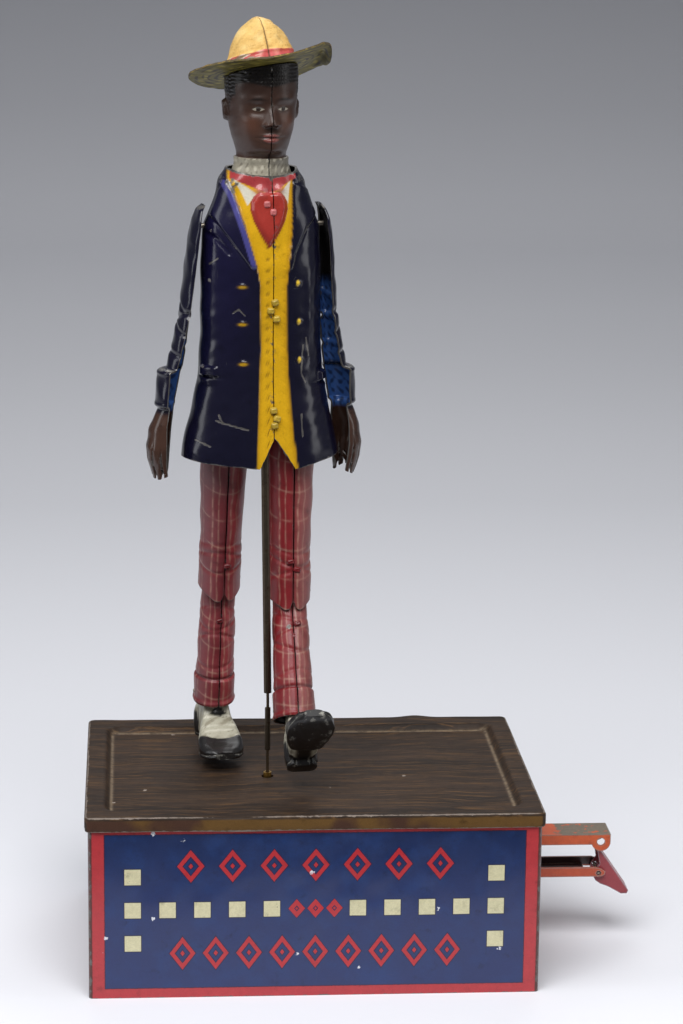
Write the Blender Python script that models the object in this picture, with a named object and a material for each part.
"""Clockwork dancer on a stage box.

A jointed tin figure hangs on a steel rod that rises through a tin stage.
A spring movement inside the box turns a lobed wheel under the rod.
A squeeze handle on the right side lifts a brake shoe off the movement.
Lengths below are in millimetres; MM turns them into metres.
X runs to the right, -Y is the front, +Z is up, origin under the box centre.
"""

import math

import bmesh
import bpy
from mathutils import Matrix, Vector

MM = 0.001
GAP = 0.3
TIN = 0.6

# Stage box
BOX_W = 120.0
BOX_D = 88.4
BOX_H = 50.4
LID_OVERHANG = 0.9
LIP_H = 3.9
TRAY_DROP = 2.0
TRAY_TOP = BOX_H - TRAY_DROP
RIM_SIDE = 5.2
RIM_FRONT = 6.8
ROD_HOLE_R = 1.7

# Dancing rod
ROD_X = -11.1
ROD_Y = -3.9
ROD_R = 0.4
ROD_BEND_Z = 70.0
ROD_LEAN = -0.0168
STRIP_R = 1.05
STRIP_BORE = 0.72
STRIP_BOTTOM = 72.3
STRIP_TOP = 176.0
DANCE_STROKE = 3.0

# Movement
WHEEL_MODULE = 0.6
GREAT_TEETH = 42
SECOND_TEETH = 36
PINION_TEETH = 10
GREAT_X = -36.0
GREAT_Z = 24.0
CAM_Z = 26.0
PLATE_FRONT_Y = 3.0
PLATE_BACK_Y = 33.0
PLATE_T = 0.8
ARBOR_R = 1.0
CAM_OUTER_R = 7.0
CAM_INNER_R = 5.2
CAM_LOBES = 6

# Squeeze handle
LEVER_PIVOT_X = 30.0
LEVER_PIVOT_Z = 19.5
ARM_HALF_W = 5.0
ARM_SHEET = 0.7
EAR_X = 82.2
EAR_Z = 28.4
EAR_R = 2.7
CATCH_X = 81.8
CATCH_Z = 19.2

# Figure
FIG_X = -13.3
FIG_Y = 5.0
FIG_TURN = math.radians(11.0)
LEG_TURN = math.radians(5.0)
HIP_X = 9.0
HIP_SHIFT = -0.3
HIP_Y = 1.0
THIGH = 48.5
SHIN = 33.5
ANKLE_H = 15.3
FOOT_CLEARANCE = 2.0
HIP_Z = TRAY_TOP + THIGH + SHIN + ANKLE_H + FOOT_CLEARANCE
SHOULDER_Z = 200.0
LEFT_LEG = (-12.0, -5.0, -2.0)
RIGHT_LEG = (4.0, 27.0, 47.0)
LEFT_ARM_SPLAY = math.radians(2.8)
HAT_Z = 241.2
HAT_ROLL = 0.13
HAT_PITCH = -0.24


# ---------------------------------------------------------------- helpers


def clear_scene():
    for obj in list(bpy.data.objects):
        bpy.data.objects.remove(obj)


def new_collection(name):
    made = bpy.data.collections.new(name)
    bpy.context.scene.collection.children.link(made)
    return made


def material(name, colour, metallic, roughness):
    made = bpy.data.materials.new(name)
    made.use_nodes = True
    shader = made.node_tree.nodes["Principled BSDF"]
    shader.inputs["Base Color"].default_value = (*colour, 1.0)
    shader.inputs["Metallic"].default_value = metallic
    shader.inputs["Roughness"].default_value = roughness
    made.diffuse_color = (*colour, 1.0)
    return made


def add_mesh(name, points, faces, paint, frame=None, origin=(0, 0, 0), home=None):
    """A closed mesh whose points are in mm in the given frame."""
    frame = frame or Matrix.Identity(4)
    base = Vector(origin)
    mesh = bpy.data.meshes.new(name)
    moved = [(Vector(p) - base) * MM for p in points]
    mesh.from_pydata(moved, [], faces)
    work = bmesh.new()
    work.from_mesh(mesh)
    bmesh.ops.recalc_face_normals(work, faces=work.faces)
    if work.calc_volume(signed=True) < 0:
        bmesh.ops.reverse_faces(work, faces=work.faces)
    work.to_mesh(mesh)
    work.free()
    obj = bpy.data.objects.new(name, mesh)
    mesh.materials.append(paint)
    obj.matrix_world = metres(frame @ Matrix.Translation(base))
    (home or PARTS).objects.link(obj)
    return obj


def metres(matrix):
    """The same placement with its shift turned from mm into metres."""
    out = matrix.copy()
    out.translation = matrix.translation * MM
    return out


def block_points(low, high):
    xs, ys, zs = zip(low, high)
    return [(x, y, z) for x in xs for y in ys for z in zs]


BLOCK_FACES = [
    (0, 1, 3, 2),
    (4, 6, 7, 5),
    (0, 4, 5, 1),
    (2, 3, 7, 6),
    (0, 2, 6, 4),
    (1, 5, 7, 3),
]


def block(name, low, high, paint, **where):
    return add_mesh(name, block_points(low, high), BLOCK_FACES, paint, **where)


def prism(name, outline, low, high, paint, axis="Y", **where):
    """A flat outline given a thickness along one axis."""
    order = {"Y": lambda u, v, w: (u, w, v), "Z": lambda u, v, w: (u, v, w)}
    order["X"] = lambda u, v, w: (w, u, v)
    place = order[axis]
    n = len(outline)
    points = [place(u, v, low) for u, v in outline]
    points += [place(u, v, high) for u, v in outline]
    faces = [tuple(range(n)), tuple(range(2 * n - 1, n - 1, -1))]
    for i in range(n):
        j = (i + 1) % n
        faces.append((i, j, n + j, n + i))
    return add_mesh(name, points, faces, paint, **where)


def cylinder(name, start, end, radius, paint, sides=16, **where):
    """A round bar between two points."""
    a, b = Vector(start), Vector(end)
    turn = (b - a).to_track_quat("Z", "Y").to_matrix()
    points = []
    for centre in (a, b):
        for i in range(sides):
            t = 2 * math.pi * (i + 0.5) / sides
            spoke = Vector((radius * math.cos(t), radius * math.sin(t), 0))
            points.append(centre + turn @ spoke)
    faces = [tuple(range(sides)), tuple(range(2 * sides - 1, sides - 1, -1))]
    for i in range(sides):
        j = (i + 1) % sides
        faces.append((i, j, sides + j, sides + i))
    where.setdefault("origin", start)
    return add_mesh(name, points, faces, paint, **where)


def turned(name, profile, base, axis, paint, sides=20, ring=False):
    """A turned part from (radius, height) pairs; a ring has no point on its axis."""
    turn = Vector(axis).to_track_quat("Z", "Y").to_matrix()
    home = Vector(base)
    points, starts = [], []
    for r, z in profile:
        starts.append(len(points))
        for i in range(sides if r > 0 else 1):
            t = 2 * math.pi * i / sides
            points.append(home + turn @ Vector((r * math.cos(t), r * math.sin(t), z)))
    faces = []
    count = len(profile)
    for k in range(count if ring else count - 1):
        n = (k + 1) % count
        for i in range(sides):
            j = (i + 1) % sides
            here = [starts[k] + i, starts[k] + j] if profile[k][0] > 0 else [starts[k]]
            there = [starts[n] + j, starts[n] + i] if profile[n][0] > 0 else [starts[n]]
            if len(here) + len(there) > 2:
                faces.append(tuple(here + there))
    return add_mesh(name, points, faces, paint, origin=base)


def skin(name, outer, inner, paint, closed=False, cap=False, **where):
    """Sheet between an outer and an inner grid of points, rows by columns."""
    rows, cols = len(outer), len(outer[0])
    points = [p for row in outer for p in row] + [p for row in inner for p in row]
    shift = rows * cols
    last = cols if closed else cols - 1
    faces = []
    for r in range(rows - 1):
        for c in range(last):
            d = (c + 1) % cols
            a = (r * cols + c, r * cols + d, (r + 1) * cols + d, (r + 1) * cols + c)
            faces.append(a)
            faces.append(tuple(shift + i for i in reversed(a)))
    edges = [0, rows - 1]
    if cap:
        edges = [0]
        top = [(rows - 1) * cols + c for c in range(cols)]
        faces.append(tuple(top))
        faces.append(tuple(shift + i for i in reversed(top)))
    for r in edges:
        for c in range(last):
            a, b = r * cols + c, r * cols + (c + 1) % cols
            faces.append((a, b, shift + b, shift + a))
    if not closed:
        for c in (0, cols - 1):
            for r in range(rows - 1):
                a, b = r * cols + c, (r + 1) * cols + c
                faces.append((a, b, shift + b, shift + a))
    return add_mesh(name, points, faces, paint, **where)


def solid_loft(name, rings, paint, **where):
    """A closed body through a list of rings."""
    n = len(rings[0])
    points = [p for ring in rings for p in ring]
    faces = [tuple(range(n)), tuple(range(len(points) - 1, len(points) - n - 1, -1))]
    for r in range(len(rings) - 1):
        for i in range(n):
            j = (i + 1) % n
            faces.append((r * n + i, r * n + j, (r + 1) * n + j, (r + 1) * n + i))
    return add_mesh(name, points, faces, paint, **where)


def carve(obj, *cutters):
    for cutter in cutters:
        made = obj.modifiers.new("Cut", "BOOLEAN")
        made.operation = "DIFFERENCE"
        made.solver = "EXACT"
        made.object = cutter
        cutter.hide_render = True
        cutter.display_type = "WIRE"


def cutting_block(name, low, high, **where):
    return block(name, low, high, STEEL, home=CUTTERS, **where)


def cutting_bar(name, start, end, radius, sides=16, **where):
    return cylinder(name, start, end, radius, STEEL, sides, home=CUTTERS, **where)


def fold(name, path, low, high, thick, paint):
    """A sheet bent along a plan path and standing from low to high."""
    inner = []
    for i, (x, y) in enumerate(path):
        before = Vector(path[max(i - 1, 0)])
        after = Vector(path[min(i + 1, len(path) - 1)])
        run = (after - before).normalized()
        inner.append((x - run.y * thick, y + run.x * thick))
    outer_rows = [[(x, y, z) for x, y in path] for z in (low, high)]
    inner_rows = [[(x, y, z) for x, y in inner] for z in (low, high)]
    return skin(name, outer_rows, inner_rows, paint)


def rounded_rect(half_w, half_d, radius, z, per_corner=4):
    ring = []
    for k, (sx, sy) in enumerate(((1, 1), (-1, 1), (-1, -1), (1, -1))):
        for i in range(per_corner + 1):
            t = math.pi / 2 * (k + i / per_corner)
            x = sx * (half_w - radius) + radius * math.cos(t)
            y = sy * (half_d - radius) + radius * math.sin(t)
            ring.append((x, y, z))
    return ring


# ---------------------------------------------------------------- materials

clear_scene()
PARTS = new_collection("Clockwork_Dancer")
CUTTERS = new_collection("Cutters")
CUTTERS.hide_render = True

BLUE_TIN = material("blue_tin", (0.02, 0.04, 0.16), 0.3, 0.4)
BROWN_TIN = material("brown_tin", (0.06, 0.04, 0.028), 0.3, 0.45)
MAROON_TIN = material("maroon_tin", (0.08, 0.02, 0.02), 0.3, 0.45)
ORANGE_TIN = material("orange_tin", (0.55, 0.09, 0.02), 0.2, 0.4)
RED_TIN = material("red_tin", (0.35, 0.04, 0.05), 0.2, 0.4)
COAT_TIN = material("coat_tin", (0.01, 0.01, 0.03), 0.2, 0.35)
TROUSER_TIN = material("trouser_tin", (0.35, 0.03, 0.04), 0.2, 0.4)
SHOE_TIN = material("shoe_tin", (0.4, 0.38, 0.33), 0.2, 0.5)
HEAD_TIN = material("head_tin", (0.11, 0.05, 0.03), 0.2, 0.45)
STRAW_TIN = material("straw_tin", (0.75, 0.5, 0.15), 0.2, 0.45)
STEEL = material("steel", (0.35, 0.34, 0.33), 1.0, 0.4)
DARK_STEEL = material("dark_steel", (0.08, 0.07, 0.05), 0.8, 0.5)
BRASS = material("brass", (0.55, 0.36, 0.12), 1.0, 0.35)


# ---------------------------------------------------------------- stage box


def wrap_panel(name, side, paint):
    """Front or back sheet with its ends folded round the corners."""
    x, y = BOX_W / 2, BOX_D / 2
    path = [(-x, -y + 6.2), (-x, -y + 0.9), (-x + 0.3, -y + 0.3), (-x + 0.9, -y)]
    path += [(-px, py) for px, py in reversed(path)]
    if side > 0:
        path = [(-px, -py) for px, py in path]
    return fold(name, path, 0.0, BOX_H - 1.1, TIN, paint)


def side_panel(name, side):
    outer = side * (BOX_W / 2 - TIN - 0.3)
    inner = outer - side * TIN
    y = BOX_D / 2 - TIN - 0.4
    low = (min(outer, inner), -y, 0.0)
    high = (max(outer, inner), y, BOX_H - 1.1)
    return block(name, low, high, MAROON_TIN)


def right_panel_with_slots():
    """The right side is pierced for the two handle arms; a tab is lanced out."""
    x = BOX_W / 2 - TIN - 0.3
    y = BOX_D / 2 - TIN - 0.4
    panel = block(
        "right_side_panel", (x - TIN, -y, 0.0), (x, y, BOX_H - 1.1), MAROON_TIN
    )
    tab = block(
        "Tab_Join", (x - 0.4, -4.6, 26.3), (x + 5.6, -1.2, 27.2), STEEL, home=CUTTERS
    )
    upper = cutting_block("Upper_Slot", (x - 3, -5.6, 27.2), (x + 3, 5.6, 31.4))
    lower = cutting_block("Lower_Slot", (x - 3, -5.6, 17.4), (x + 3, 5.6, 24.0))
    carve(panel, upper, lower)
    join = panel.modifiers.new("Tab", "BOOLEAN")
    join.operation = "UNION"
    join.solver = "EXACT"
    join.object = tab
    tab.hide_render = True
    tab.display_type = "WIRE"
    return panel


def stage_lid():
    """Pressed tray: lip, rim, step down to a flat floor with the rod hole."""
    x, y = BOX_W / 2 + LID_OVERHANG, BOX_D / 2 + LID_OVERHANG
    floor_x, floor_y = x - RIM_SIDE - 1.6, y - RIM_FRONT - 1.6
    steps = [
        (x, y, 1.6, BOX_H - LIP_H),
        (x, y, 1.6, BOX_H - 0.5),
        (x - 0.5, y - 0.5, 1.4, BOX_H),
        (x - RIM_SIDE, y - RIM_FRONT, 4.0, BOX_H),
        (floor_x, floor_y, 3.2, TRAY_TOP),
        (2.0, 2.0, 0.6, TRAY_TOP),
    ]
    under = [
        (x - TIN, y - TIN, 1.0, BOX_H - LIP_H),
        (x - TIN, y - TIN, 1.0, BOX_H - TIN - 0.3),
        (x - TIN - 0.3, y - TIN - 0.3, 0.9, BOX_H - TIN),
        (x - RIM_SIDE + 0.3, y - RIM_FRONT + 0.3, 4.3, BOX_H - TIN),
        (floor_x + 0.3, floor_y + 0.3, 3.5, TRAY_TOP - TIN),
        (2.0, 2.0, 0.6, TRAY_TOP - TIN),
    ]
    outer = [rounded_rect(*step) for step in steps]
    inner = [rounded_rect(*step) for step in under]
    lid = skin("stage_lid", outer, inner, BROWN_TIN, closed=True, cap=True)
    hole = cutting_bar(
        "Rod_Hole", (ROD_X, ROD_Y, TRAY_TOP - 5), (ROD_X, ROD_Y, TRAY_TOP + 5),
        ROD_HOLE_R, 20,
    )
    carve(lid, hole)
    return lid


wrap_panel("front_panel", -1, BLUE_TIN)
back = wrap_panel("back_panel", 1, BLUE_TIN)
key_hole = cutting_bar("Key_Hole", (GREAT_X, 35, GREAT_Z), (GREAT_X, 50, GREAT_Z), 3.2)
carve(back, key_hole)
side_panel("left_side_panel", -1)
right_panel_with_slots()
stage_lid()
bottom = block(
    "bottom_plate",
    (-BOX_W / 2 + 1.9, -BOX_D / 2 + 1.0, 0.0),
    (BOX_W / 2 - 1.9, BOX_D / 2 - 1.0, 0.8),
    STEEL,
)


# ---------------------------------------------------------------- movement


def gear_outline(teeth, module):
    """Slim rounded clock teeth; four points to a tooth."""
    pitch = module * teeth / 2
    tip, root = pitch + 0.85 * module, pitch - 1.15 * module
    step = 2 * math.pi / teeth
    marks = ((-0.33, root), (-0.12, tip), (0.12, tip), (0.33, root))
    return [[(step * (i + a), r) for a, r in marks] for i in range(teeth)]


def gear(name, teeth, module, low, high, bore, centre, paint, phase=0.0):
    """A wheel across Y with a round bore."""
    groups = gear_outline(teeth, module)
    points, faces = [], []
    stride = 10
    for i, group in enumerate(groups):
        for y in (low, high):
            hub = 2 * math.pi * (i - 0.5) / teeth
            for angle, radius in [(hub, bore)] + group:
                t = angle + phase
                x, z = radius * math.cos(t), radius * math.sin(t)
                points.append((centre[0] + x, y, centre[1] + z))
    total = len(groups)
    for i in range(total):
        a, b = i * stride, ((i + 1) % total) * stride
        for k in (0, 5):
            faces.append((a + k, a + k + 1, a + k + 2, a + k + 3, a + k + 4, b + k + 1, b + k))
        for p, q in ((1, 2), (2, 3), (3, 4)):
            faces.append((a + p, a + q, a + 5 + q, a + 5 + p))
        faces.append((a + 4, b + 1, b + 6, a + 9))
        faces.append((a, b, b + 5, a + 5))
    origin = (centre[0], low, centre[1])
    return add_mesh(name, points, faces, paint, origin=origin)


def second_centre():
    """Where the second arbor meshes with both of its neighbours."""
    first = WHEEL_MODULE * (GREAT_TEETH + PINION_TEETH) / 2
    last = WHEEL_MODULE * (SECOND_TEETH + PINION_TEETH) / 2
    run = Vector((ROD_X - GREAT_X, CAM_Z - GREAT_Z))
    along = (first**2 - last**2 + run.length**2) / (2 * run.length)
    down = math.sqrt(first**2 - along**2)
    unit = run.normalized()
    x = GREAT_X + unit.x * along + unit.y * down
    z = GREAT_Z + unit.y * along - unit.x * down
    return x, z


def mesh_phase(leader, follower, lead_teeth, lead_phase, teeth):
    """The phase that puts a gap of the follower on a tooth of the leader."""
    toward = math.atan2(follower[1] - leader[1], follower[0] - leader[0])
    lead = ((toward - lead_phase) * lead_teeth / (2 * math.pi)) % 1.0
    back = toward + math.pi
    step = 2 * math.pi / teeth
    return back - step * (0.5 - lead)


def arbor(name, centre, low, high, pinion, paint):
    """A steel spindle across Y, with a cut pinion when one is given."""
    x, z = centre
    shaft = cylinder(name, (x, low, z), (x, high, z), ARBOR_R, paint, 16)
    if pinion:
        y0, y1, phase = pinion
        cut = gear(
            name + "_pinion", PINION_TEETH, WHEEL_MODULE, y0, y1, 0.5, centre, paint, phase
        )
        for home in list(cut.users_collection):
            home.objects.unlink(cut)
        CUTTERS.objects.link(cut)
        cut.hide_render = True
        cut.display_type = "WIRE"
        join = shaft.modifiers.new("Pinion", "BOOLEAN")
        join.operation = "UNION"
        join.solver = "EXACT"
        join.object = cut
    return shaft


def movement_plate(name, y):
    outline = [(-54.0, 3.0), (1.5, 3.0), (1.5, 41.0), (-2.0, 43.5), (-54.0, 43.5)]
    plate = prism(name, outline, y, y + PLATE_T, BRASS)
    holes = [
        cutting_bar(f"{name}_hole_{i}", (x, y - 2, z), (x, y + 3, z), r, 14)
        for i, (x, z, r) in enumerate(PLATE_HOLES)
    ]
    carve(plate, *holes)
    return plate


def pillar(name, x, z):
    """Shouldered post with a pin through each plate."""
    shoulder = (PLATE_BACK_Y - GAP) - (PLATE_FRONT_Y + PLATE_T + GAP)
    pin = PLATE_T + 2 * GAP + 0.2
    profile = [
        (0, shoulder + pin),
        (0.9, shoulder + pin),
        (0.9, shoulder),
        (1.7, shoulder),
        (1.7, 0),
        (0.9, 0),
        (0.9, -pin),
        (0, -pin),
    ]
    base = (x, PLATE_FRONT_Y + PLATE_T + GAP, z)
    return turned(name, profile, base, (0, 1, 0), BRASS, 12)


def mainspring():
    """Flat spring coiled round the winding arbor."""
    turns, per_turn, thick = 4.6, 16, 0.4
    outer, inner = [], []
    total = int(turns * per_turn)
    for i in range(total + 1):
        t = 2 * math.pi * i / per_turn
        r = 3.2 + 2.1 * i / per_turn
        outer.append((r + thick, t))
        inner.append((r, t))

    def row(items, y):
        return [
            (GREAT_X + r * math.cos(t), y, GREAT_Z + r * math.sin(t)) for r, t in items
        ]

    rows_out = [row(outer, 20.5), row(outer, 30.5)]
    rows_in = [row(inner, 20.5), row(inner, 30.5)]
    origin = (GREAT_X, 20.5, GREAT_Z)
    return skin("mainspring", rows_out, rows_in, DARK_STEEL, origin=origin)


def winding_key():
    """Square-shanked key with a two-loop bow, behind the back panel."""
    y0, y1 = 47.0, 49.0
    x, z = GREAT_X, GREAT_Z
    outline = []
    for i in range(32):
        t = 2 * math.pi * i / 32
        r = 3.2 + 7.6 * abs(math.cos(t)) ** 1.2
        outline.append((x + r * math.cos(t), z + 0.85 * r * math.sin(t)))
    key = prism("winding_key", outline, y0, y1, STEEL, origin=(x, y0, z))
    cuts = [
        cutting_bar(
            f"Key_Eye_{i}", (x + side * 6.2, y0 - 3, z), (x + side * 6.2, y1 + 3, z), 2.3
        )
        for i, side in enumerate((-1, 1))
    ]
    cuts.append(cutting_bar("Key_Socket", (x, y0 - 3, z), (x, y1 + 3, z), ARBOR_R + 0.2))
    carve(key, *cuts)
    return key


GREAT = (GREAT_X, GREAT_Z)
SECOND = second_centre()
CAM = (ROD_X, CAM_Z)
PILLARS = ((-51.0, 6.0), (-51.0, 40.0), (-1.5, 6.0), (-1.5, 40.0))
PLATE_HOLES = [(x, z, ARBOR_R + 0.3) for x, z in (GREAT, SECOND, CAM)]
PLATE_HOLES += [(x, z, 1.2) for x, z in PILLARS]

movement_plate("movement_plate_front", PLATE_FRONT_Y)
movement_plate("movement_plate_back", PLATE_BACK_Y)
for number, (px, pz) in enumerate(PILLARS, 1):
    pillar(f"plate_pillar_{number}", px, pz)
mainspring()

second_phase = mesh_phase(GREAT, SECOND, GREAT_TEETH, 0.0, PINION_TEETH)
cam_phase = mesh_phase(SECOND, CAM, SECOND_TEETH, 0.0, PINION_TEETH)
gear("great_wheel", GREAT_TEETH, WHEEL_MODULE, 14.0, 15.2, ARBOR_R + 0.2, GREAT, BRASS)
gear("second_wheel", SECOND_TEETH, WHEEL_MODULE, 8.0, 9.2, ARBOR_R + 0.2, SECOND, BRASS)
arbor("second_arbor", SECOND, 2.4, 34.4, (12.8, 16.4, second_phase), STEEL)
arbor("cam_arbor", CAM, -7.0, 34.4, (7.0, 10.4, cam_phase), STEEL)
arbor("winding_arbor", GREAT, 2.4, 52.0, None, STEEL)
winding_key()


def ratchet_wheel():
    teeth, outer, inner = 20, 6.0, 4.9
    outline = []
    for i in range(teeth):
        t = 2 * math.pi * i / teeth
        outline.append((GREAT_X + outer * math.cos(t), GREAT_Z + outer * math.sin(t)))
        t += 2 * math.pi / teeth * 0.12
        outline.append((GREAT_X + inner * math.cos(t), GREAT_Z + inner * math.sin(t)))
    origin = (GREAT_X, 15.6, GREAT_Z)
    wheel = prism("ratchet_wheel", outline, 15.6, 16.8, STEEL, origin=origin)
    bore = cutting_bar(
        "Ratchet_Bore", (GREAT_X, 12, GREAT_Z), (GREAT_X, 20, GREAT_Z), ARBOR_R + 0.2
    )
    carve(wheel, bore)


def click_pawl():
    """Short pawl beside the ratchet, with a rivet stub on the great wheel."""
    x, z = GREAT_X, GREAT_Z + 9.3
    outline = [(x - 1.5, z + 1.2), (x - 1.6, z - 1.0), (x + 3.4, z - 3.6)]
    outline += [(x + 4.6, z - 3.1), (x + 1.5, z + 0.9), (x, z + 1.6)]
    prism("click_pawl", outline, 15.5, 16.7, STEEL, origin=(x, 15.5, z))


ratchet_wheel()
click_pawl()


def cam_wheel():
    """Lobed wheel that kicks the foot of the rod."""
    outline = []
    for i in range(CAM_LOBES * 6):
        t = 2 * math.pi * i / (CAM_LOBES * 6)
        wave = 0.5 + 0.5 * math.cos(CAM_LOBES * t)
        r = CAM_INNER_R + (CAM_OUTER_R - CAM_INNER_R) * wave
        outline.append((ROD_X + r * math.cos(t), CAM_Z + r * math.sin(t)))
    wheel = prism("cam_wheel", outline, -5.3, -2.5, STEEL, origin=(ROD_X, -5.3, CAM_Z))
    bore = cutting_bar("Cam_Bore", (ROD_X, -9, CAM_Z), (ROD_X, 1, CAM_Z), ARBOR_R + 0.2)
    carve(wheel, bore)


cam_wheel()
drum_profile = [(5.0, 1.7), (5.0, 0), (ARBOR_R + 0.2, 0), (ARBOR_R + 0.2, 1.7)]
turned("brake_drum", drum_profile, (ROD_X, -1.0, CAM_Z), (0, 1, 0), BRASS, 24, True)


def guide_bracket():
    """Bent strip that carries the rod guide in front of the movement."""
    path = [(2.6, 36.2), (2.6, 43.2), (-7.0, 43.2), (-7.0, 42.4), (1.8, 42.4), (1.8, 36.2)]
    outline = [(y, z) for y, z in path]
    bracket = prism(
        "guide_bracket", outline, ROD_X - 4.0, ROD_X + 4.0, STEEL, axis="X"
    )
    hole = cutting_bar("Guide_Hole", (ROD_X, ROD_Y, 38), (ROD_X, ROD_Y, 46), 0.75, 12)
    carve(bracket, hole)


guide_bracket()
guide = [(1.1, 49.6), (1.1, 44.1), (1.9, 44.1), (1.9, 43.5), (0.65, 43.5), (0.65, 49.6)]
turned("rod_guide", guide, (ROD_X, ROD_Y, 0), (0, 0, 1), BRASS, 16, True)


# ---------------------------------------------------------------- handle


def arc(cx, cz, r, start, end, count):
    out = []
    for i in range(count + 1):
        t = math.radians(start + (end - start) * i / count)
        out.append((cx + r * math.cos(t), cz + r * math.sin(t)))
    return out


def channel(name, outline, web_cut, paint, origin):
    """A bent channel: the side outline across Y, hollowed between its flanges."""
    solid = prism(name, outline, -ARM_HALF_W, ARM_HALF_W, paint, origin=origin)
    carve(solid, *web_cut)
    return solid


def fixed_arm():
    """Upper arm: open side down, round ears at the free end."""
    top, low = 30.6, 27.6
    outline = [(42.0, top), (42.0, low), (79.6, low)]
    outline += arc(EAR_X, EAR_Z, EAR_R, 200, 350, 10)
    outline += [(84.9, top)]
    inside = cutting_block(
        "Fixed_Arm_Hollow",
        (38.0, -ARM_HALF_W + ARM_SHEET, 20.0),
        (95.0, ARM_HALF_W - ARM_SHEET, top - ARM_SHEET),
    )
    eye = cutting_bar("Ear_Eye", (EAR_X, -9, EAR_Z), (EAR_X, 9, EAR_Z), 1.1, 16)
    rivet = cutting_bar("Rivet_Eye", (46, -9, 29.0), (46, 9, 29.0), 0.9, 12)
    channel("fixed_arm", outline, (inside, eye, rivet), ORANGE_TIN, (46, 0, 29.0))


def squeeze_lever():
    """Lower arm: open side up, pivoted inside, with a tail under the drum."""
    rim, low = 20.9, 18.2
    outline = [(24.0, rim), (24.0, low), (82.4, low)]
    outline += [(83.5, 18.7), (83.7, 19.6), (82.6, 20.4), (81.0, rim)]
    outline += [(34.0, rim), (32.0, 22.0), (28.0, 22.0), (26.0, rim)]
    inside = cutting_block(
        "Lever_Hollow",
        (20.0, -ARM_HALF_W + ARM_SHEET, low + ARM_SHEET),
        (95.0, ARM_HALF_W - ARM_SHEET, 30.0),
    )
    mouth = cutting_block(
        "Lever_Mouth",
        (78.4, -ARM_HALF_W + ARM_SHEET, 10.0),
        (95.0, ARM_HALF_W - ARM_SHEET, 30.0),
    )
    x, z = LEVER_PIVOT_X, LEVER_PIVOT_Z
    pivot = cutting_bar("Lever_Pivot_Eye", (x, -9, z), (x, 9, z), 1.1, 14)
    catch = cutting_bar("Catch_Eye", (CATCH_X, -9, CATCH_Z), (CATCH_X, 9, CATCH_Z), 0.7, 12)
    origin = (x, 0, z)
    lever = channel(
        "squeeze_lever", outline, (inside, mouth, pivot, catch), ORANGE_TIN, origin
    )
    tail = block(
        "Lever_Tail", (-8.6, -1.2, low), (26.0, 1.2, low + ARM_SHEET + 0.2), STEEL,
        home=CUTTERS,
    )
    join = lever.modifiers.new("Tail", "BOOLEAN")
    join.operation = "UNION"
    join.solver = "EXACT"
    join.object = tail
    tail.hide_render = True
    tail.display_type = "WIRE"


def lever_bracket():
    """Standing cradle, two cheeks and a floor, that holds both arms."""
    outline = [(24.0, 1.1), (50.0, 1.1), (50.0, 32.0), (40.0, 32.0), (26.0, 23.5), (24.0, 21.5)]
    outer = prism("lever_bracket", outline, -6.4, 6.4, STEEL)
    hollow = cutting_block("Cradle_Hollow", (20, -5.5, 2.0), (60, 5.5, 40))
    x, z = LEVER_PIVOT_X, LEVER_PIVOT_Z
    pivot = cutting_bar("Cradle_Pivot_Eye", (x, -9, z), (x, 9, z), 1.1, 14)
    rivet = cutting_bar("Cradle_Rivet_Eye", (46, -9, 29.0), (46, 9, 29.0), 0.9, 12)
    carve(outer, hollow, pivot, rivet)


def lever_catch():
    """Two cheeks joined by a web along the outer edge."""
    outline = [(81.5, 25.4), (82.4, 25.4), (90.5, 13.6), (90.1, 12.7), (88.4, 12.7)]
    outline += [(84.8, 14.8), (82.5, 15.7), (81.2, 16.6), (80.6, 17.6), (80.7, 19.4)]
    outline += [(82.2, 21.4)]
    origin = (CATCH_X, 0, CATCH_Z)
    solid = prism("lever_catch", outline, -3.8, 3.8, RED_TIN, origin=origin)
    hollow = [(70.0, 30.0), (80.6, 27.2), (81.5, 25.4), (89.5, 13.4), (86.0, 5.0), (70.0, 5.0)]
    inside = prism("Catch_Hollow", hollow, -3.1, 3.1, STEEL, home=CUTTERS)
    x, z = CATCH_X, CATCH_Z
    eye = cutting_bar("Catch_Pin_Eye", (x, -9, z), (x, 9, z), 0.7, 12)
    carve(solid, inside, eye)


fixed_arm()
squeeze_lever()
lever_bracket()
lever_catch()
px, pz = LEVER_PIVOT_X, LEVER_PIVOT_Z
cylinder("lever_pivot_pin", (px, -6.9, pz), (px, 6.9, pz), 0.8, STEEL, 14)
cylinder("fixed_arm_rivet", (46, -6.9, 29.0), (46, 6.9, 29.0), 0.6, STEEL, 12)
cylinder("catch_pin", (CATCH_X, -4.9, CATCH_Z), (CATCH_X, 4.9, CATCH_Z), 0.4, STEEL, 12)
shoe_outline = [(-8.4, 19.4), (-3.4, 19.4), (-3.4, 20.6), (-6.1, 21.9), (-7.4, 21.6)]
shoe_outline += [(-8.4, 20.7)]
prism("brake_shoe", shoe_outline, -1.0, 0.8, DARK_STEEL, origin=(-6, -1, 19.4))
spring_path = [(8.0, 1.1), (22.0, 1.1), (21.0, 5.8), (9.0, 16.1), (8.4, 15.7), (20.0, 5.6)]
spring_path += [(21.2, 1.7), (8.0, 1.7)]
prism("brake_spring", spring_path, -1.6, 1.6, DARK_STEEL)


# ---------------------------------------------------------------- rod


def rod_line(z):
    """Centre of the rod at a height: upright below the bend, leaning above."""
    return ROD_X + max(0.0, z - ROD_BEND_Z) * ROD_LEAN, ROD_Y, z


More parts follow.
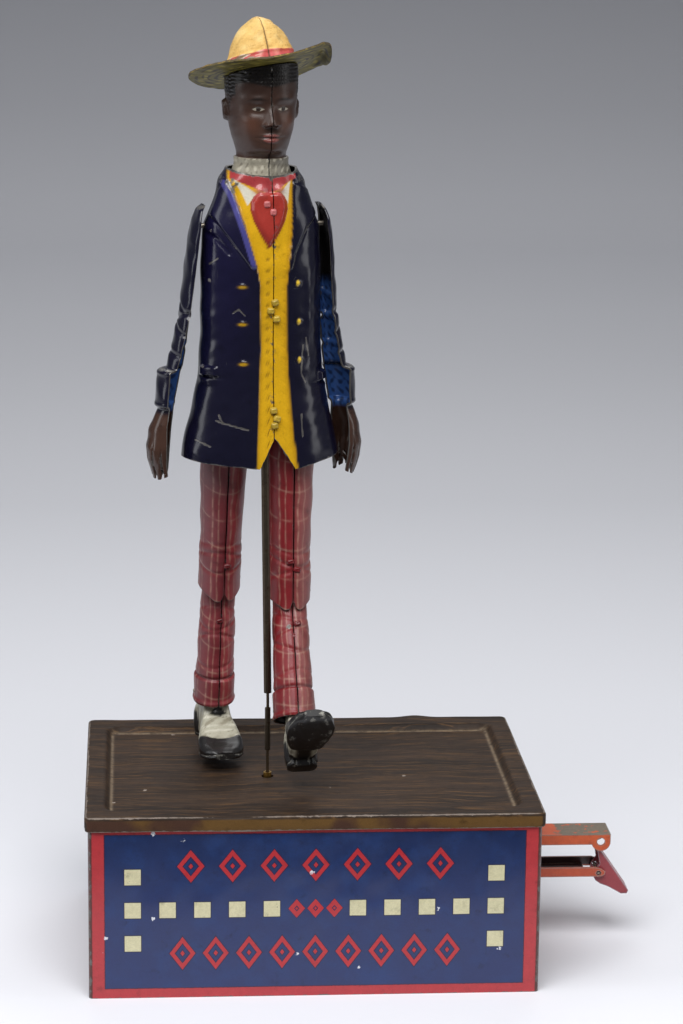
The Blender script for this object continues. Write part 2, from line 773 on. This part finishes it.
def dance_rod():
    rings = []
    for z in (35.7, ROD_BEND_Z, 110.0):
        cx, cy, _ = rod_line(z)
        rings.append(
            [
                (cx + ROD_R * math.cos(math.pi * i / 5), cy + ROD_R * math.sin(math.pi * i / 5), z)
                for i in range(10)
            ]
        )
    solid_loft("dance_rod", rings, STEEL, origin=(ROD_X, ROD_Y, 35.7))


def tube_on_rod(name, low, high, radius, bore, paint):
    outer, inner = [], []
    for z in (low, high):
        cx, cy, _ = rod_line(z)
        for grid, r in ((outer, radius), (inner, bore)):
            grid.append(
                [
                    (cx + r * math.cos(math.pi * i / 6), cy + r * math.sin(math.pi * i / 6), z)
                    for i in range(12)
                ]
            )
    skin(name, outer, inner, paint, closed=True, origin=(ROD_X, ROD_Y, low))


dance_rod()
tube_on_rod("hanger_tube", STRIP_BOTTOM, STRIP_TOP, STRIP_R, STRIP_BORE, DARK_STEEL)
tube_on_rod("rod_sleeve", 56.0, 68.0, 0.78, 0.55, DARK_STEEL)
foot = [(0, 35.3), (1.2, 35.3), (1.8, 34.8), (1.8, 33.8), (0.9, 33.4), (0, 33.4)]
turned("rod_foot", foot, (ROD_X, ROD_Y, 0), (0, 0, 1), DARK_STEEL, 14)


# ---------------------------------------------------------------- figure

SPOT = Matrix.Translation(Vector((FIG_X, FIG_Y, 0)))
FIGURE = SPOT @ Matrix.Rotation(FIG_TURN, 4, "Z")
HIPS = SPOT @ Matrix.Rotation(LEG_TURN, 4, "Z")


def blend(table, z):
    """Row of a table at a height, straight between its entries."""
    if z <= table[0][0]:
        return table[0][1:]
    for low, high in zip(table, table[1:]):
        if z <= high[0]:
            t = (z - low[0]) / (high[0] - low[0])
            return tuple(a + (b - a) * t for a, b in zip(low[1:], high[1:]))
    return table[-1][1:]


# height, half width, front depth, back depth
COAT = (
    (136.0, 21.3, 13.0, 13.8),
    (140.0, 21.0, 12.8, 13.5),
    (147.0, 19.6, 12.2, 12.6),
    (158.5, 17.1, 11.0, 11.2),
    (171.0, 16.3, 10.6, 10.4),
    (190.6, 16.3, 10.8, 10.0),
    (199.8, 15.7, 10.0, 9.6),
    (204.7, 13.7, 9.2, 9.2),
    (208.9, 12.0, 8.7, 8.8),
    (213.8, 9.6, 8.4, 8.4),
    (216.0, 9.2, 8.2, 8.2),
)


def torso_half(name, side):
    """Pressed half of the coat, open below and at the neck."""
    cols = 13
    heights = (137.2, 141, 147, 153, 159, 171, 181, 191, 198, 202, 205.5, 209, 212.5, 215.2)

    def grid(inset):
        rows = []
        for k, level in enumerate(heights):
            row = []
            for c in range(cols):
                t = math.pi * (c / (cols - 1) - 0.5)
                z = level
                if k == 0:
                    front = max(0.0, -math.sin(t))
                    point = math.exp(-(((abs(t + math.pi / 2)) - 0.36) / 0.16) ** 2)
                    notch = math.exp(-((t + math.pi / 2) / 0.15) ** 2)
                    z += front * (5.0 * notch - 1.4 * point)
                if k >= len(heights) - 2:
                    z -= 1.6 * max(0.0, -math.sin(t)) ** 2
                half, front_d, back_d = blend(COAT, z)
                depth = front_d if t < 0 else back_d
                x = (half - inset) * math.cos(t) ** 0.85 if c not in (0, cols - 1) else 0.0
                y = (depth - inset) * math.sin(t)
                row.append((side * (0.2 + x), y, z))
            rows.append(row)
        return rows

    half = skin(name, grid(0.0), grid(TIN), COAT_TIN, frame=FIGURE, origin=(0, 0, HIP_Z))
    eye = cutting_bar(
        name + "_Eye", (side * 10, 0.07, SHOULDER_Z), (side * 20, 0.07, SHOULDER_Z), 1.1, 14,
        frame=FIGURE,
    )
    carve(half, eye)
    half.modifiers["Cut"].use_self = side < 0
    return half


torso_half("torso_left", -1)
torso_half("torso_right", 1)

# height, half width, front depth, back depth
HEAD = (
    (210.0, 7.6, 7.0, 7.0),
    (213.0, 8.1, 7.3, 7.3),
    (216.0, 7.0, 6.9, 7.1),
    (219.0, 6.4, 7.0, 7.2),
    (220.0, 6.6, 9.0, 7.6),
    (222.5, 7.4, 9.8, 8.6),
    (226.0, 8.4, 10.0, 9.6),
    (230.0, 9.0, 10.0, 10.4),
    (234.0, 9.4, 9.9, 11.0),
    (238.0, 9.6, 10.2, 11.2),
    (246.0, 9.4, 9.9, 10.8),
)
NOSE_Z = 229.5
NOSE_OUT = 2.3


def hat_plane(x, y):
    return HAT_Z + HAT_ROLL * x + HAT_PITCH * y


def head_half(name, side):
    """Pressed half of collar, neck and head, ending under the hat brim."""
    cols = 15
    heights = (210, 213, 216, 218.6, 219.8, 222, 225, 227.5, 229.5, 232, 235, 238, 241)

    def grid(inset):
        rows = []
        for k, level in enumerate(heights):
            row = []
            for c in range(cols):
                t = math.pi * (c / (cols - 1) - 0.5)
                half, front_d, back_d = blend(HEAD, level)
                depth = front_d if t < 0 else back_d
                x = (half - inset) * math.cos(t) if c not in (0, cols - 1) else 0.0
                y = (depth - inset) * math.sin(t)
                if level > 219:
                    bump = math.exp(-(((level - NOSE_Z) / 3.0) ** 2))
                    width = math.exp(-(((t + math.pi / 2) / 0.2) ** 2))
                    y -= NOSE_OUT * bump * width
                    ear = math.exp(-(((level - 231) / 3.4) ** 4)) * math.exp(-(((t - 0.12) / 0.2) ** 2))
                    x += 1.1 * ear
                z = level
                if k >= len(heights) - 3:
                    top = hat_plane(side * x, y) - 0.9
                    share = (k - len(heights) + 3) / 2
                    start = heights[-3]
                    z = start + (top - start) * (0.45 + 0.55 * share if share else 0.0)
                row.append((side * (0.2 + x), y, z))
            rows.append(row)
        return rows

    return skin(name, grid(0.0), grid(TIN), HEAD_TIN, frame=FIGURE, origin=(0, 0, 216))


head_half("head_left", -1)
head_half("head_right", 1)


def brim_height(x, y, share, angle):
    """Tilted brim with a rolled right side and a drooping left side."""
    roll = max(0.0, math.cos(angle + 0.35)) ** 3
    lift = max(0.0, math.cos(angle - math.pi + 0.2)) ** 2
    droop = max(0.0, math.sin(angle))
    wave = 4.2 * roll + 2.0 * lift - 1.6 * droop
    return hat_plane(x, y) + wave * max(0.0, share) ** 1.8


def hat_brim():
    cols, rows = 36, (0.0, 0.2, 0.45, 0.7, 0.88, 1.0)

    def grid(drop):
        out = []
        for share in rows:
            ring = []
            for c in range(cols):
                t = 2 * math.pi * c / cols
                rx, ry = 7.0 + 12.3 * share, 7.6 + 12.0 * share
                x, y = rx * math.cos(t), ry * math.sin(t)
                ring.append((x, y, brim_height(x, y, share, t) - drop))
            out.append(ring)
        return out

    skin(
        "hat_brim", grid(0.0), grid(0.55), STRAW_TIN, closed=True, frame=FIGURE,
        origin=(0, 0, HAT_Z),
    )


# share of height, half width, half depth
CROWN = (
    (0.0, 9.2, 9.8),
    (0.28, 8.4, 9.2),
    (0.52, 7.2, 8.4),
    (0.72, 5.6, 7.2),
    (0.88, 3.6, 5.6),
    (0.97, 1.8, 3.6),
    (1.0, 0.7, 1.8),
)
CROWN_H = 12.4


def hat_crown():
    cols = 24

    def grid(inset):
        rows = []
        for share, half, depth in CROWN:
            ring = []
            for c in range(cols):
                t = 2 * math.pi * c / cols
                k = 1 - inset / max(half, 2.4)
                x, y = half * k * math.cos(t), depth * k * math.sin(t)
                z = hat_plane(x, y) + 0.9 + (CROWN_H - inset) * share
                y += HAT_PITCH * -1.0 * CROWN_H * share * 0.35
                ring.append((x - HAT_ROLL * CROWN_H * share, y, z))
            rows.append(ring)
        return rows

    skin(
        "hat_crown", grid(0.0), grid(TIN), STRAW_TIN, closed=True, cap=True,
        frame=FIGURE, origin=(0, 0, HAT_Z),
    )


hat_brim()
hat_crown()
cylinder(
    "hip_pin", (-17.4, HIP_Y, HIP_Z), (17.4, HIP_Y, HIP_Z), 0.7, STEEL, 12, frame=HIPS,
    origin=(0, HIP_Y, HIP_Z),
)
for label, side in (("left", -1), ("right", 1)):
    cylinder(
        f"shoulder_pin_{label}", (side * 11.0, 0, SHOULDER_Z), (side * 17.2, 0, SHOULDER_Z),
        0.7, STEEL, 12, frame=FIGURE,
    )

# height, outer side, front edge, back edge, half depth
ARM = (
    (205.6, 16.4, 15.7, 15.2, 1.6),
    (204.4, 17.6, 16.6, 16.2, 3.4),
    (201.5, 18.7, 17.2, 16.8, 4.9),
    (196.0, 19.6, 17.7, 17.0, 5.5),
    (186.0, 20.4, 18.4, 17.1, 5.3),
    (176.0, 21.3, 19.3, 17.3, 5.1),
    (168.0, 22.7, 20.7, 17.8, 4.9),
    (161.4, 24.0, 22.0, 18.6, 4.8),
    (160.6, 26.3, 23.9, 18.9, 5.8),
    (151.6, 26.6, 24.2, 20.2, 5.8),
    (150.6, 25.4, 23.8, 20.9, 3.9),
    (146.0, 26.6, 24.9, 22.0, 4.6),
    (140.0, 27.2, 25.6, 22.4, 5.2),
    (136.6, 26.8, 25.4, 22.5, 4.8),
    (132.2, 25.4, 24.6, 22.7, 4.2),
)


def arm(label, side, splay):
    """Pressed outer half of a sleeve, cuff and hand, open toward the coat."""
    cols = 13
    tilt = Matrix.Rotation(-side * splay, 4, "Y")
    pivot = Vector((side * 15.6, 0, SHOULDER_Z))

    def grid(inset):
        rows = []
        for k, (z, out, front, back, deep) in enumerate(ARM):
            rx = (out - back) * 0.62
            cx = out - rx
            start = math.acos(max(-0.98, min(0.98, (front - cx) / rx)))
            end = math.acos(max(-0.98, min(0.98, (back - cx) / rx)))
            row = []
            for c in range(cols):
                t = -start + (start + end) * c / (cols - 1)
                x = cx + (rx - inset) * math.cos(t)
                y = (deep - inset) * math.sin(t)
                drop = inset if k == 0 else 0.0
                if k == len(ARM) - 1:
                    drop = 1.2 if c % 4 == 2 else -1.2
                if k == len(ARM) - 2:
                    drop = 0.0 if c % 4 == 2 else -0.6
                rows_point = Vector((side * x, y, z - drop))
                row.append(tilt @ (rows_point - pivot) + pivot)
            rows.append(row)
        return rows

    return skin(
        f"{label}_arm", grid(0.0), grid(0.5), COAT_TIN, frame=FIGURE, origin=tuple(pivot)
    )


arm("left", -1, LEFT_ARM_SPLAY)
arm("right", 1, 0.0)

# drop below the joint, half width, half depth
THIGH_RINGS = (
    (-4.0, 6.2, 6.6),
    (8.0, 6.6, 7.0),
    (22.0, 6.1, 6.9),
    (35.0, 5.7, 7.0),
    (42.5, 5.9, 7.3),
    (48.5, 5.8, 7.5),
)
SHIN_RINGS = (
    (-2.6, 4.3, 2.6),
    (0.0, 4.5, 4.0),
    (4.5, 4.7, 3.9),
    (13.0, 5.1, 5.6),
    (22.5, 5.1, 6.4),
    (27.5, 5.4, 6.9),
    (28.5, 5.7, 7.3),
    (36.0, 5.7, 7.4),
)
# forward, sole height, top height, half width (heights are below the ankle joint)
SHOE_RINGS = (
    (-8.8, 13.4, 8.4, 2.8),
    (-7.6, 14.9, 5.6, 4.2),
    (-4.6, 15.3, 3.6, 4.6),
    (-3.3, 15.3, -0.9, 3.3),
    (0.0, 15.3, -1.3, 3.9),
    (3.3, 15.3, -0.9, 3.3),
    (4.4, 15.3, 5.0, 4.2),
    (7.6, 15.3, 7.0, 5.5),
    (11.0, 15.3, 9.0, 6.2),
    (15.0, 14.9, 10.6, 6.2),
    (18.4, 14.2, 11.4, 4.8),
    (20.0, 13.4, 12.0, 2.6),
)


def leg_frame(base, degrees):
    """Joint frame: its X is the pin, its -Z runs down the limb."""
    turn = Matrix.Rotation(math.radians(-degrees), 4, "X")
    return base @ turn


def limb(name, rings, frame, lobes, paint):
    """Hollow trouser section with an eye for the pin at its upper joint."""
    cols = 20

    def grid(inset):
        rows = []
        for k, (drop, half, deep) in enumerate(rings):
            ring = []
            for c in range(cols):
                t = 2 * math.pi * c / cols
                low = drop
                if lobes and k == len(rings) - 1:
                    low += 1.8 + 1.9 * math.sin(t) ** 2 - 1.6 * math.exp(
                        -(((abs(math.sin(t)) - 1.0) / 0.03) ** 2)
                    )
                x = (half - inset) * math.cos(t)
                y = (deep - inset) * math.sin(t)
                ring.append((x, y, -low))
            rows.append(ring)
        return rows

    return skin(name, grid(0.0), grid(0.5), paint, closed=True, frame=frame)


def leg(label, side, angles):
    thigh_deg, shin_deg, foot_deg = angles
    hip = HIPS @ Matrix.Translation(Vector((side * HIP_X + HIP_SHIFT, HIP_Y, HIP_Z)))
    thigh_frame = leg_frame(hip, thigh_deg)
    knee = thigh_frame @ Matrix.Translation(Vector((0, 0, -THIGH)))
    shin_frame = leg_frame(knee, shin_deg - thigh_deg)
    ankle = shin_frame @ Matrix.Translation(Vector((0, 0, -SHIN)))
    shoe_frame = leg_frame(ankle, foot_deg - shin_deg)

    thigh = limb(f"{label}_thigh", THIGH_RINGS, thigh_frame, True, TROUSER_TIN)
    hip_eye = cutting_bar(
        f"{label}_hip_eye", (-12, 0, 0), (12, 0, 0), 1.0, 12, frame=thigh_frame
    )
    knee_eye = cutting_bar(
        f"{label}_knee_eye", (-12, 0, -THIGH), (12, 0, -THIGH), 0.9, 12, frame=thigh_frame
    )
    carve(thigh, hip_eye, knee_eye)
    cylinder(
        f"{label}_knee_pin", (-6.0, 0, -THIGH), (6.0, 0, -THIGH), 0.6, STEEL, 12,
        frame=thigh_frame,
    )

    shin = limb(f"{label}_shin", SHIN_RINGS, shin_frame, False, TROUSER_TIN)
    shin_eye = cutting_bar(
        f"{label}_shin_eye", (-12, 0, 0), (12, 0, 0), 0.9, 12, frame=shin_frame
    )
    ankle_eye = cutting_bar(
        f"{label}_ankle_eye", (-12, 0, -SHIN), (12, 0, -SHIN), 0.8, 12, frame=shin_frame
    )
    carve(shin, shin_eye, ankle_eye)
    cylinder(
        f"{label}_ankle_pin", (-5.9, 0, -SHIN), (5.9, 0, -SHIN), 0.5, STEEL, 12,
        frame=shin_frame,
    )

    rings = []
    for forward, sole, top, half in SHOE_RINGS:
        ring = []
        mid, rise = (sole + top) / 2, (sole - top) / 2
        for c in range(12):
            t = 2 * math.pi * (c + 0.5) / 12
            sx, sz = math.cos(t), math.sin(t)
            x = half * math.copysign(abs(sx) ** 0.6, sx)
            z = rise * math.copysign(abs(sz) ** 0.6, sz)
            ring.append((x, -forward, -mid + z))
        rings.append(ring)
    shoe = solid_loft(f"{label}_shoe", rings, SHOE_TIN, frame=shoe_frame)
    pin_eye = cutting_bar(
        f"{label}_shoe_eye", (-12, 0, 0), (12, 0, 0), 0.8, 12, frame=shoe_frame
    )
    carve(shoe, pin_eye)


leg("left", -1, LEFT_LEG)
leg("right", 1, RIGHT_LEG)
